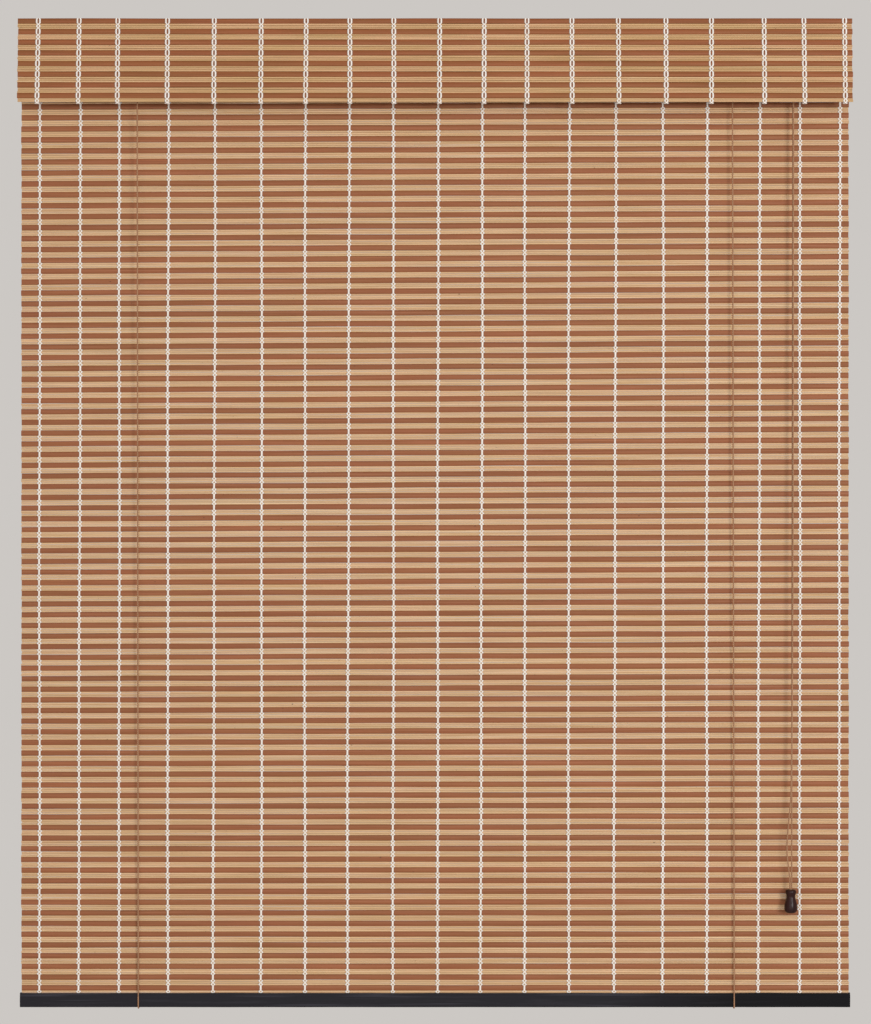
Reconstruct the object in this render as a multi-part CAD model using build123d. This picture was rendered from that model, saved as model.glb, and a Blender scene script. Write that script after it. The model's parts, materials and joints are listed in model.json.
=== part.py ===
from build123d import *
import math
import os

os.makedirs("parts", exist_ok=True)

# A roll-up blind of flat bamboo slats and thin sticks, woven on cotton threads.
# It hangs from the top face of its wooden headrail, and the middle of that face is the origin.
# +X runs to the right along the slats, -Y faces the room and +Z is up. Lengths are in millimetres.

# Weave of the mat and the valance
blind_width = 1000.0
weave_thickness = 2.0
slat_height = 6.3
slat_edge = 0.5
web_thickness = 0.7
sticks_in_band = 3
thread_width = 1.5
thread_thickness = 0.5
# Thread columns along the slats, as shares of half the blind's width
thread_column_shares = (
    -0.957, -0.860, -0.764, -0.647, -0.534, -0.420, -0.315, -0.209, -0.100, 0.008,
    0.113, 0.218, 0.324, 0.434, 0.551, 0.657, 0.783, 0.881, 0.975,
)

# Mat
mat_rows = 90
mat_pitch = 13.03
mat_top_drop = 3.75
rows_per_gap = 3
gap_height = 0.5
gap_margin = 14.0

# Valance
valance_rows = 8
valance_pitch = 12.95
valance_end_sticks = 2
valance_top_drop = 0.5
valance_lean_deg = 4.3

# Headrail and its two screw holes
headrail_end_inset = 5.0
headrail_depth = 22.0
headrail_height = 30.0
headrail_edge = 1.5
mount_hole_inset = 30.0
mount_hole_radius = 2.5

# Bottom rail: a wooden bar in a folded cloth hem that also grips the mat's end
bar_end_gap = 0.5
bar_thickness = 5.0
bar_corner = 1.5
hem_height = 17.4
hem_thickness = 0.8
hem_corner = 2.4
hem_overlap = 4.0
hem_shoulder = 3.4
hem_clearance = 0.15
hem_end_gap = 0.3

# Pulley wheels, axles and the folded steel brackets
wheel_radius = 7.0
wheel_width = 4.4
groove_root_radius = 4.2
axle_radius = 1.5
axle_drop = 12.0
running_clearance = 0.05
side_clearance = 0.3
sheet_thickness = 1.2
cheek_margin = 6.0
cheek_corner = 3.0
stud_radius = 2.2
stud_length = 16.0
ear_length = 10.0
screw_radius = 1.4
screw_length = 12.0
screw_head_radius = 2.7
screw_head_height = 1.8
screw_slot_width = 0.8
screw_slot_depth = 0.9
screw_hole_clearance = 0.2
screw_point_radius = 0.3
screw_point_share = 0.3

# Cord lock: a toothed cam that pinches the cords, with a tail that weighs it shut
cam_drop = 2.0
cam_clearance = 0.3
cam_hub_radius = 3.6
cam_teeth = 6
cam_tooth_depth = 0.9
cam_first_reach = 7.0
cam_last_reach = 10.0
cam_first_deg = 145.0
cam_last_deg = 222.0
cam_tail_length = 11.0
cam_tail_height = 8.0

# Cords
cord_radius = 0.8
cord_sides = 6
cord_clearance = 0.2
cord_line_y = -1.0
# Place of the lift cords along the slats, as a share of half the blind's width
lift_cord_share = 0.716
right_cord_drift = 3.0
pull_cord_inset = 69.0
anchor_row = 1
cord_tail = 8.0
loose_bend_share = 0.45
pull_bow = 8.4
# The front pull cord's bow: shares of the tassel's drop, of the bow and of the way in to the cord line
pull_bow_shares = (
    (0.875, 0.13, 0.19), (0.9255, 0.75, 0.36), (0.956, 1.0, 0.57), (0.981, 0.57, 0.87),
)

# Acorn tassel on the pull cords, and the knot inside it
tassel_drift = 3.0
tassel_top_drop = 1046.0
tassel_height = 28.0
tassel_radius = 7.75
tassel_cavity_radius = 3.0
tassel_cavity_depth = 14.0
tassel_cord_spacing = 1.9
tassel_entry = 5.0
knot_radius = 2.7
knot_height = 5.0
knot_edge = 0.9
# The acorn's outline from collar to foot: shares of the height and of the radius
tassel_outline_shares = (
    (0.0, 0.66), (0.04, 0.80), (0.14, 0.83), (0.26, 0.70), (0.34, 0.70), (0.48, 0.83),
    (0.64, 0.96), (0.78, 1.0), (0.87, 1.0), (0.935, 0.935), (0.98, 0.76), (1.0, 0.52),
)

# Staples
staple_wire = 0.9
staple_crown = 10.0
staple_bite = 6.0
columns_per_staple = 2
cord_staple_clearance = 0.1

# Cuts reach this far past a face
overrun = 1.0

# Places that follow from the sizes above
headrail_length = blind_width - 2 * headrail_end_inset
mount_spacing = headrail_length - 2 * mount_hole_inset
bar_length = blind_width - 2 * bar_end_gap
lift_cord_x = lift_cord_share * blind_width / 2
pull_cord_x = blind_width / 2 - pull_cord_inset
tassel_x = pull_cord_x - tassel_drift
underside = -headrail_height
mat_length = mat_rows * mat_pitch
mat_bottom = -mat_top_drop - mat_length
mat_y = headrail_depth / 2 + thread_thickness + weave_thickness / 2
mat_back = mat_y + weave_thickness / 2
hem_top = mat_bottom + hem_overlap
hem_bottom = hem_top - hem_height
hem_half = bar_thickness / 2 + hem_clearance + hem_thickness
mouth_half = weave_thickness / 2 + thread_thickness + hem_clearance + hem_thickness
bar_height = hem_height - hem_overlap - hem_thickness - 2 * hem_clearance
groove_slope = math.atan2(wheel_width / 2, wheel_radius - groove_root_radius)
run_radius = groove_root_radius + (cord_radius + cord_clearance) / math.sin(groove_slope)
axle_z = underside - axle_drop
run_z = axle_z + run_radius
channel_pitch = wheel_width + side_clearance
front_channel_y = cord_line_y - channel_pitch / 2
rear_channel_y = cord_line_y + channel_pitch / 2
single_width = wheel_width + 2 * side_clearance
double_width = 2 * wheel_width + 3 * side_clearance
roller_width = double_width - 2 * side_clearance
left_axle_x = -lift_cord_x + run_radius
right_axle_x = lift_cord_x + run_radius
roller_x = pull_cord_x - run_radius
cord_meet_x = roller_x - wheel_radius
cam_z = axle_z - cam_drop
tassel_top = -tassel_top_drop
tassel_ceiling = tassel_top - tassel_height + tassel_cavity_depth
tassel_bore_radius = tassel_cord_spacing / 2 + cord_radius + cord_clearance
hem_turn = hem_corner + cord_clearance + cord_radius
under_z = hem_bottom - cord_clearance - cord_radius
front_leg_y = mat_y - hem_half - cord_clearance - cord_radius
back_leg_y = mat_y + hem_half + cord_clearance + cord_radius
anchor_y = mat_back + cord_clearance + cord_radius
anchor_z = -mat_top_drop - anchor_row * mat_pitch - slat_height / 2


def weave(rows, pitch, end_sticks):
    """One wall of weave, its top edge at z = 0: a flat ridge for each slat and a sharp one for each stick."""
    step = (pitch - slat_height) / sticks_in_band
    half_web = web_thickness / 2
    half_wall = weave_thickness / 2
    side = []
    for row in range(rows):
        z = -row * pitch
        side += [(half_web, z), (half_wall, z - slat_edge), (half_wall, z - slat_height + slat_edge)]
        z -= slat_height
        for stick in range(sticks_in_band if row < rows - 1 else end_sticks):
            side += [(half_web, z), (half_wall, z - step / 2)]
            z -= step
    side.append((half_web, z))
    outline = side + [(-y, z) for y, z in reversed(side)]
    wall = Plane.YZ * make_face(Polyline(*outline, close=True))
    return extrude(wall, amount=blind_width / 2, both=True)


def thread_strips(length):
    """The warp threads on both faces of a weave, one pair of strips for each column."""
    strip = Box(thread_width, thread_thickness, length)
    off = (weave_thickness + thread_thickness) / 2
    return [
        Pos(share * blind_width / 2, side * off, -length / 2) * strip
        for share in thread_column_shares
        for side in (-1, 1)
    ]


def mat():
    """The hanging mat, with a light gap between every few rows that stops short of both selvedges."""
    gap = Box(blind_width - 2 * gap_margin, weave_thickness + overrun, gap_height)
    gaps = [Pos(0, 0, -row * mat_pitch) * gap for row in range(rows_per_gap, mat_rows, rows_per_gap)]
    return weave(mat_rows, mat_pitch, sticks_in_band) - gaps


def headrail():
    """A planed batten with broken edges along its length and two screw holes from top to bottom."""
    section = Plane.YZ * Pos(0, underside / 2) * Rectangle(headrail_depth, headrail_height)
    section = chamfer(section.vertices(), headrail_edge)
    batten = extrude(section, amount=headrail_length / 2, both=True)
    hole = Cylinder(mount_hole_radius, headrail_height + overrun)
    return batten - [Pos(x, 0, underside / 2) * hole for x in (-mount_spacing / 2, mount_spacing / 2)]


def hem():
    """A cloth sleeve round the bar, its two lips drawn in against the mat and its ends closed."""

    def pocket(inset, top):
        half = hem_half - inset
        mouth = mouth_half - inset
        shoulder = hem_top - hem_shoulder
        floor = hem_bottom + inset
        side = [(mouth, top), (mouth, hem_top), (half, shoulder), (half, floor)]
        if top == hem_top:
            side.pop(0)
        face = make_face(Polyline(*side, *[(-y, z) for y, z in reversed(side)], close=True))
        return Plane.YZ * chamfer(face.vertices().sort_by(Axis.Y)[:2], hem_corner - inset)

    inner_half = blind_width / 2 + hem_end_gap
    sleeve = extrude(pocket(0, hem_top), amount=inner_half + hem_thickness, both=True)
    sleeve -= extrude(pocket(hem_thickness, hem_top + overrun), amount=inner_half, both=True)
    return Pos(0, mat_y, 0) * sleeve


def bottom_bar():
    section = Rectangle(bar_thickness, bar_height)
    section = Plane.YZ * chamfer(section.vertices(), bar_corner)
    bar_middle = hem_bottom + hem_thickness + hem_clearance + bar_height / 2
    return Pos(0, mat_y, bar_middle) * extrude(section, amount=bar_length / 2, both=True)


def cheek_frame(middle_y, inner_width, pins):
    """A steel frame folded over under the headrail, with a cheek on each side of the pins that it holds."""
    left = min(x for x, z in pins) - cheek_margin
    right = max(x for x, z in pins) + cheek_margin
    low = min(z for x, z in pins) - cheek_margin
    middle = (left + right) / 2
    width = inner_width + 2 * sheet_thickness
    cheek = Pos(middle, (underside + low) / 2) * Rectangle(right - left, underside - low)
    cheek = chamfer(cheek.vertices().sort_by(Axis.Y)[:2], cheek_corner)
    frame = extrude(Plane.XZ * cheek, amount=width / 2, both=True)
    slot_height = underside - sheet_thickness - low + overrun
    slot = Box(right - left + overrun, inner_width, slot_height)
    frame -= Pos(middle, 0, underside - sheet_thickness - slot_height / 2) * slot
    pin_hole = Rot(X=90) * Cylinder(axle_radius + running_clearance, width + overrun)
    frame -= [Pos(x, 0, z) * pin_hole for x, z in pins]
    return Pos(0, middle_y, 0) * frame


def pointed_shank(radius, length):
    """A wood screw's plain shank from z = 0 upwards, tapering to its point."""
    point = screw_point_share * length
    straight = length - point
    tip = Pos(0, 0, straight + point / 2) * Cone(radius, screw_point_radius, point)
    return Pos(0, 0, straight / 2) * Cylinder(radius, straight) + tip


def pulley_frame(middle_y, inner_width, axle_x):
    """A pulley's cheeks with the stud that screws up into the headrail."""
    stud = Pos(axle_x, middle_y, underside) * pointed_shank(stud_radius, stud_length)
    return cheek_frame(middle_y, inner_width, [(axle_x, axle_z)]) + stud


def lock_frame(pins):
    """The cord lock's cheeks with a screw ear at each end."""
    ear = Box(ear_length, double_width + 2 * sheet_thickness, sheet_thickness)
    ear -= Cylinder(screw_radius + screw_hole_clearance, sheet_thickness + overrun)
    frame = cheek_frame(cord_line_y, double_width, pins)
    return frame + [Pos(x, cord_line_y, underside - sheet_thickness / 2) * ear for x in ear_places(pins)]


def ear_places(pins):
    """Where the cord lock's two screws go, along X."""
    reach = cheek_margin + ear_length / 2
    return (min(x for x, z in pins) - reach, max(x for x, z in pins) + reach)


def lock_screw():
    """A slotted wood screw pointing up, the flat side of its head at z = 0."""
    head = Pos(0, 0, -screw_head_height / 2) * Cylinder(screw_head_radius, screw_head_height)
    slot = Box(2 * screw_head_radius + overrun, screw_slot_width, 2 * screw_slot_depth)
    head -= Pos(0, 0, -screw_head_height) * slot
    return head + pointed_shank(screw_radius, screw_length)


def grooved_wheel(grooves):
    """A turned wheel about the Y axis, with V grooves side by side and a gap between their rims."""
    bore = axle_radius + running_clearance
    outline = []
    for groove in range(grooves):
        middle = (groove - (grooves - 1) / 2) * channel_pitch
        outline.append((wheel_radius, middle - wheel_width / 2))
        outline.append((groove_root_radius, middle))
        outline.append((wheel_radius, middle + wheel_width / 2))
    ends = [(bore, outline[-1][1]), (bore, outline[0][1])]
    return revolve(make_face(Polyline(*outline, *ends, close=True)), axis=Axis.Y)


def axle(inner_width):
    """A pin along Y, peened flush with the outside of its two cheeks."""
    return Rot(X=90) * Cylinder(axle_radius, inner_width + 2 * sheet_thickness)


def cam_tips():
    """The cam's tooth points about its pivot, each further out than the one above it."""
    tips = []
    for tooth in range(cam_teeth):
        share = tooth / (cam_teeth - 1)
        angle = math.radians(cam_first_deg + share * (cam_last_deg - cam_first_deg))
        tips.append((angle, cam_first_reach + share * (cam_last_reach - cam_first_reach)))
    return tips


def lock_cam():
    """The toothed cam about its pivot on the Y axis, teeth to the left and weighted tail to the right."""
    tips = cam_tips()
    outline = [(0, 0)]
    for angle, reach in tips:
        root = reach - cam_tooth_depth
        outline.append((root * math.cos(angle), root * math.sin(angle)))
        outline.append((reach * math.cos(angle), reach * math.sin(angle)))
    profile = make_face(Polyline(*outline, close=True)) + Circle(cam_hub_radius)
    profile += Pos(cam_tail_length / 2, 0) * Rectangle(cam_tail_length, cam_tail_height)
    profile -= Circle(axle_radius + running_clearance)
    return extrude(Plane.XZ * profile, amount=roller_width / 2, both=True)


def staple(crown, reach):
    """A wire staple behind the mat, its crown along X and its legs pointing to -Y."""
    bridge = Pos(0, staple_wire / 2, 0) * Box(crown, staple_wire, staple_wire)
    leg = Box(staple_wire, reach, staple_wire)
    leg_x = (crown - staple_wire) / 2
    return bridge + [Pos(x, -reach / 2, 0) * leg for x in (-leg_x, leg_x)]


def tassel():
    """A turned acorn with a rounded foot, bored for the cords and hollowed below for their knot."""
    side = [(share * tassel_radius, -drop * tassel_height) for drop, share in tassel_outline_shares]
    outline = Polyline((0, 0), *side, (0, -tassel_height), close=True)
    acorn = revolve(Plane.XZ * make_face(outline), axis=Axis.Z)
    bore = Pos(0, 0, -tassel_height / 2) * Cylinder(tassel_bore_radius, tassel_height + overrun)
    cavity_reach = tassel_cavity_depth + overrun
    cavity = Cylinder(tassel_cavity_radius, cavity_reach)
    acorn -= [bore, Pos(0, 0, tassel_cavity_depth - tassel_height - cavity_reach / 2) * cavity]
    return Pos(tassel_x, cord_line_y, tassel_top) * acorn


def tassel_knot():
    """The pull cords' knot as a plain barrel against the ceiling of the tassel's hollow."""
    end_radius = knot_radius - knot_edge
    outline = [(0, 0), (end_radius, 0), (knot_radius, -knot_height / 2), (end_radius, -knot_height)]
    barrel = make_face(Polyline(*outline, (0, -knot_height), close=True))
    return Pos(tassel_x, cord_line_y, tassel_ceiling) * revolve(Plane.XZ * barrel, axis=Axis.Z)


def cord_tube(name, points, radii):
    """A plain many-sided tube along straight runs joined by tangent arcs."""
    path = FilletPolyline(*points, radius=radii)
    section = Plane(path @ 0, z_dir=path % 0) * RegularPolygon(cord_radius, cord_sides)
    tube = sweep(section, path=path)
    expected = section.area * path.length
    print(name, "length", round(path.length, 1), "radii", [round(r, 2) for r in radii])
    print(name, "volume", round(tube.volume, 1), "section times length", round(expected, 1))
    return tube


def lift_cord(name, channel_y, top_x, bottom_x):
    """From the cord lock over its pulley, down the front, under the hem and up the back to its staple."""
    points = [
        (cord_meet_x, channel_y, run_z),
        (top_x, channel_y, run_z),
        (bottom_x, front_leg_y, under_z),
        (bottom_x, back_leg_y, under_z),
        (top_x, anchor_y, anchor_z + cord_tail),
    ]
    return cord_tube(name, points, [run_radius, hem_turn, hem_turn])


def pull_points(side):
    """The last two points of a pull cord: the mouth of the tassel and the ceiling of its hollow."""
    x = tassel_x + side * tassel_cord_spacing / 2
    return [(x, cord_line_y, tassel_top + tassel_entry), (x, cord_line_y, tassel_ceiling)]


def bowed_points():
    """Where the front pull cord goes above the tassel, as it bows out to the left and back."""
    return [
        (
            pull_cord_x - bow * pull_bow,
            front_channel_y + inward * (cord_line_y - front_channel_y),
            drop * tassel_top,
        )
        for drop, bow, inward in pull_bow_shares
    ]


def loose_radius(before, corner, after):
    """The largest easy bend at a corner of a free cord, from the shorter of its two runs."""
    arriving = Vector(*corner) - Vector(*before)
    leaving = Vector(*after) - Vector(*corner)
    half_turn = math.radians(arriving.get_angle(leaving)) / 2
    return loose_bend_share * min(arriving.length, leaving.length) / math.tan(half_turn)


def pull_cord(name, channel_y, points):
    """From its lift cord's end beside the roller, over the roller and down to the knot in the tassel."""
    route = [(cord_meet_x, channel_y, run_z), (pull_cord_x, channel_y, run_z)] + points
    corners = zip(route[1:], route[2:], route[3:])
    return cord_tube(name, route, [run_radius] + [loose_radius(*corner) for corner in corners])


def main():
    tooth_reach = max(-reach * math.cos(angle) for angle, reach in cam_tips())
    cam_x = pull_cord_x + cord_radius + cam_clearance + tooth_reach
    lock_pins = [(roller_x, axle_z), (cam_x, cam_z)]
    print("left axle", left_axle_x, "right axle", right_axle_x, "height", axle_z, "lock pins", lock_pins)
    print("channels", front_channel_y, rear_channel_y, "run radius", run_radius, "run z", run_z)
    print("hem", hem_top, hem_bottom, "cord underside", under_z - cord_radius)

    hang_mat = Pos(0, mat_y, -mat_top_drop)
    tilt = Pos(0, -headrail_depth / 2, -valance_top_drop) * Rot(X=-valance_lean_deg)
    hang_valance = tilt * Pos(0, -thread_thickness - weave_thickness / 2, 0)
    valance_step = (valance_pitch - slat_height) / sticks_in_band
    valance_length = (valance_rows - 1) * valance_pitch + slat_height + valance_end_sticks * valance_step

    screw_seat = underside - sheet_thickness
    screw = lock_screw()

    column_pairs = list(zip(thread_column_shares, thread_column_shares[1:]))[::columns_per_staple]
    staple_places = [(left + right) / 2 * blind_width / 2 for left, right in column_pairs]
    mat_staple = staple(staple_crown, mat_back - headrail_depth / 2 + staple_bite)
    mat_staple_z = -mat_top_drop - slat_height / 2
    cord_crown = 2 * (cord_radius + cord_staple_clearance + staple_wire)
    cord_staple_y = anchor_y + cord_radius + cord_staple_clearance
    cord_staple = staple(cord_crown, cord_staple_y - headrail_depth / 2 + staple_bite)

    wheel = grooved_wheel(grooves=1)
    roller = grooved_wheel(grooves=2)
    double_pin = axle(double_width)

    nodes = {
        "headrail": headrail(),
        "mat": hang_mat * mat(),
        "mat_warp_threads": Compound([hang_mat * strip for strip in thread_strips(mat_length)]),
        "valance": hang_valance * weave(valance_rows, valance_pitch, valance_end_sticks),
        "valance_warp_threads": Compound([hang_valance * strip for strip in thread_strips(valance_length)]),
        "bottom_bar": bottom_bar(),
        "bottom_hem": hem(),
        "left_pulley_frame": pulley_frame(front_channel_y, single_width, left_axle_x),
        "left_pulley_wheel": Pos(left_axle_x, front_channel_y, axle_z) * wheel,
        "left_pulley_axle": Pos(left_axle_x, front_channel_y, axle_z) * axle(single_width),
        "right_pulley_frame": pulley_frame(cord_line_y, double_width, right_axle_x),
        "right_pulley_front_wheel": Pos(right_axle_x, front_channel_y, axle_z) * wheel,
        "right_pulley_rear_wheel": Pos(right_axle_x, rear_channel_y, axle_z) * wheel,
        "right_pulley_axle": Pos(right_axle_x, cord_line_y, axle_z) * double_pin,
        "cord_lock_frame": lock_frame(lock_pins),
        "cord_lock_roller": Pos(roller_x, cord_line_y, axle_z) * roller,
        "cord_lock_roller_pin": Pos(roller_x, cord_line_y, axle_z) * double_pin,
        "cord_lock_cam": Pos(cam_x, cord_line_y, cam_z) * lock_cam(),
        "cord_lock_cam_pin": Pos(cam_x, cord_line_y, cam_z) * double_pin,
        "cord_lock_screws": Compound([
            Pos(x, cord_line_y, screw_seat) * screw for x in ear_places(lock_pins)
        ]),
        "mat_staples": Compound([Pos(x, mat_back, mat_staple_z) * mat_staple for x in staple_places]),
        "cord_staples": Compound([
            Pos(x, cord_staple_y, anchor_z) * cord_staple for x in (-lift_cord_x, lift_cord_x)
        ]),
        "left_lift_cord": lift_cord("left lift cord", front_channel_y, -lift_cord_x, -lift_cord_x),
        "right_lift_cord": lift_cord(
            "right lift cord", rear_channel_y, lift_cord_x, lift_cord_x + right_cord_drift
        ),
        "front_pull_cord": pull_cord("front pull cord", front_channel_y, bowed_points() + pull_points(-1)),
        "rear_pull_cord": pull_cord("rear pull cord", rear_channel_y, pull_points(1)),
        "tassel": tassel(),
        "tassel_knot": tassel_knot(),
    }
    for name, shape in nodes.items():
        export_step(shape, f"parts/{name}.step")
    print(len(nodes), "nodes written")


main()
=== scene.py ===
# %% [markdown]
# # A bamboo roll up blind
# The blind is a mat of flat dark slats and thin natural sticks, held together by rows of cotton
# stitches. A strip of the same weave hides the wooden headrail, cords lift a cloth-bound rail at
# the bottom, and an acorn hangs on the pull cords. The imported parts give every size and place, and
# this lesson gives them their looks: it replaces the plain weave, hem, cords and acorn, and
# finishes the rest where it is.

# %% Load the fixed frame
import json
import math

import bpy
import numpy as np
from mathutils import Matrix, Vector, noise


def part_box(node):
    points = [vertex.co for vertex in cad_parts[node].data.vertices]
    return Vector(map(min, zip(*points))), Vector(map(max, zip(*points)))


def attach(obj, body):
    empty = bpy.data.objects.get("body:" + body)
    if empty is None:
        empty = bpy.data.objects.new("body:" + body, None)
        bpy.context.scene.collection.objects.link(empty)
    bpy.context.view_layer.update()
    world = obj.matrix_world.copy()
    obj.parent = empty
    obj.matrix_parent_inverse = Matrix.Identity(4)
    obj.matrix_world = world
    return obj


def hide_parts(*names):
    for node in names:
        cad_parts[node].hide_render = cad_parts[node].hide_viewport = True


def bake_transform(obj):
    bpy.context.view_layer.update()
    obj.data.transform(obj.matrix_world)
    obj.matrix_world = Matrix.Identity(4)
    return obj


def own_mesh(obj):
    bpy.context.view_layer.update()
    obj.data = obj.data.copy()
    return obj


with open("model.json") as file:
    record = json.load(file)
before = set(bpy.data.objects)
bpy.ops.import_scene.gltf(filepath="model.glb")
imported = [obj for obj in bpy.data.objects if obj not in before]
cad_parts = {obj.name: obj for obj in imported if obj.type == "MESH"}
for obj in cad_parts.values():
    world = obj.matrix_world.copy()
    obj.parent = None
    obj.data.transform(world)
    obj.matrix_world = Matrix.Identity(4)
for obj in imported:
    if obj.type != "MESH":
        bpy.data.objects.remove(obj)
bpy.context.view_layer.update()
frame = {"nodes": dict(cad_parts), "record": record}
nodes = frame["nodes"]

# %% [markdown]
# ## Sizes that the pieces share
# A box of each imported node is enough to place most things, so few numbers are typed. All are in
# metres. The weave repeats every 13 mm: one slat, then a band of three sticks.

# %% Sizes of the weave
MM = 0.001
mat_low, mat_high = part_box("mat")
blind_width = mat_high.x - mat_low.x
mat_y = (mat_low.y + mat_high.y) / 2
mat_rows = 90
mat_pitch = (mat_high.z - mat_low.z) / mat_rows
valance_pitch = 12.95 * MM
slat_height = 6.3 * MM
slat_thickness = 1.9 * MM
slat_edge = 0.6 * MM
sticks_in_band = 3
# Stitch columns along the slats, as shares of half the width
column_shares = (
    -0.956, -0.860, -0.765, -0.646, -0.535, -0.421, -0.315, -0.211, -0.103, 0.006,
    0.111, 0.215, 0.322, 0.433, 0.549, 0.656, 0.781, 0.879, 0.976,
)
print("row pitch", round(mat_pitch / MM, 2), "mm, width", round(blind_width, 3), "m")

# %% [markdown]
# ## Camera
# The blind was seen square on from about three metres, so a long lens on a level camera gives the
# same slight perspective. The camera stands in front of the middle and at half the blind's height.

# %% Camera
camera_distance = 3.1
camera_aside = 0.0006
camera_height = -0.5918
lens_pixels = 2566
frame_height_pixels = 1024
bpy.ops.object.select_all(action="DESELECT")
bpy.ops.object.camera_add(
    location=(camera_aside, mat_y - camera_distance, camera_height),
    rotation=(math.radians(90), 0, 0),
)
camera = bpy.context.object
camera.data.lens = camera.data.sensor_width * lens_pixels / frame_height_pixels
bpy.context.scene.camera = camera
print("lens", round(camera.data.lens, 1), "mm")

# %% [markdown]
# ## Small helpers
# An operator works on what is selected, so each piece starts from an empty selection. Edges are
# picked by their direction, as one would by eye, before a bevel or a subdivision.


# %% Helpers for modelling
def start_piece(name, add, **options):
    """Add one primitive as the only selected object and name it."""
    bpy.ops.object.select_all(action="DESELECT")
    add(**options)
    piece = bpy.context.object
    piece.name = name
    piece.data.name = name
    return piece


def select_only(piece):
    """Make a piece the active object and the only selected one."""
    bpy.ops.object.select_all(action="DESELECT")
    piece.select_set(True)
    bpy.context.view_layer.objects.active = piece


def settle(piece):
    """Put a piece's place, turn and scale into its mesh, so that its object sits at the origin."""
    select_only(piece)
    bpy.ops.object.transform_apply(location=True, rotation=True, scale=True)
    return piece


def pick_edges(piece, wanted):
    """Select the edges that wanted(start, end) is true for, and stay in edit mode."""
    bpy.ops.object.mode_set(mode="EDIT")
    bpy.ops.mesh.select_mode(type="EDGE")
    bpy.ops.mesh.select_all(action="DESELECT")
    bpy.ops.object.mode_set(mode="OBJECT")
    corners = piece.data.vertices
    for edge in piece.data.edges:
        start, end = (corners[index].co for index in edge.vertices)
        edge.select = wanted(start, end)
    bpy.ops.object.mode_set(mode="EDIT")


def runs_along_x(start, end):
    """Whether an edge is more than ten times as long in X as it is across."""
    return abs(start.x - end.x) > 10 * (start - end).yz.length


def smooth_below(degrees):
    """Shade the selected piece smooth, apart from edges sharper than an angle."""
    bpy.ops.object.shade_smooth_by_angle(angle=math.radians(degrees))


def apply_modifiers(piece):
    """Apply every modifier of a piece, in order."""
    select_only(piece)
    for modifier in list(piece.modifiers):
        bpy.ops.object.modifier_apply(modifier=modifier.name)


def copy_of(master, name):
    """A copy of a modelled piece with its own mesh."""
    copy = bpy.data.objects.new(name, master.data.copy())
    bpy.context.scene.collection.objects.link(copy)
    return copy


def join(pieces, name):
    """Join several pieces into the first one."""
    select_only(pieces[0])
    for piece in pieces:
        piece.select_set(True)
    bpy.ops.object.join()
    pieces[0].name = name
    pieces[0].data.name = name
    return pieces[0]


def points_of(piece):
    """All vertex places of a piece as rows of x, y and z."""
    flat = np.empty(len(piece.data.vertices) * 3)
    piece.data.vertices.foreach_get("co", flat)
    return flat.reshape(-1, 3)


def move_points(piece, points):
    """Give a piece's vertices new places."""
    piece.data.vertices.foreach_set("co", points.ravel())
    piece.data.update()


def repeat_down(piece, count, step):
    """Repeat a piece downwards with an Array modifier, and apply it."""
    rows = piece.modifiers.new("rows", "ARRAY")
    rows.use_relative_offset = False
    rows.use_constant_offset = True
    rows.constant_offset_displace = (0, 0, -step)
    rows.count = count
    apply_modifiers(piece)


# %% [markdown]
# ## Helpers for finishes
# Every finish is a Principled shader fed by noise on the object's own coordinates, so the pattern
# stays put when a piece moves. Colours are written as they look on a screen, from 0 to 255, and
# turned linear here.


# %% Helpers for materials
def paint(red, green, blue):
    """A screen colour as the linear colour that a shader needs."""
    linear = []
    for level in (red / 255, green / 255, blue / 255):
        linear.append(level / 12.92 if level <= 0.04045 else ((level + 0.055) / 1.055) ** 2.4)
    return (*linear, 1)


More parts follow.
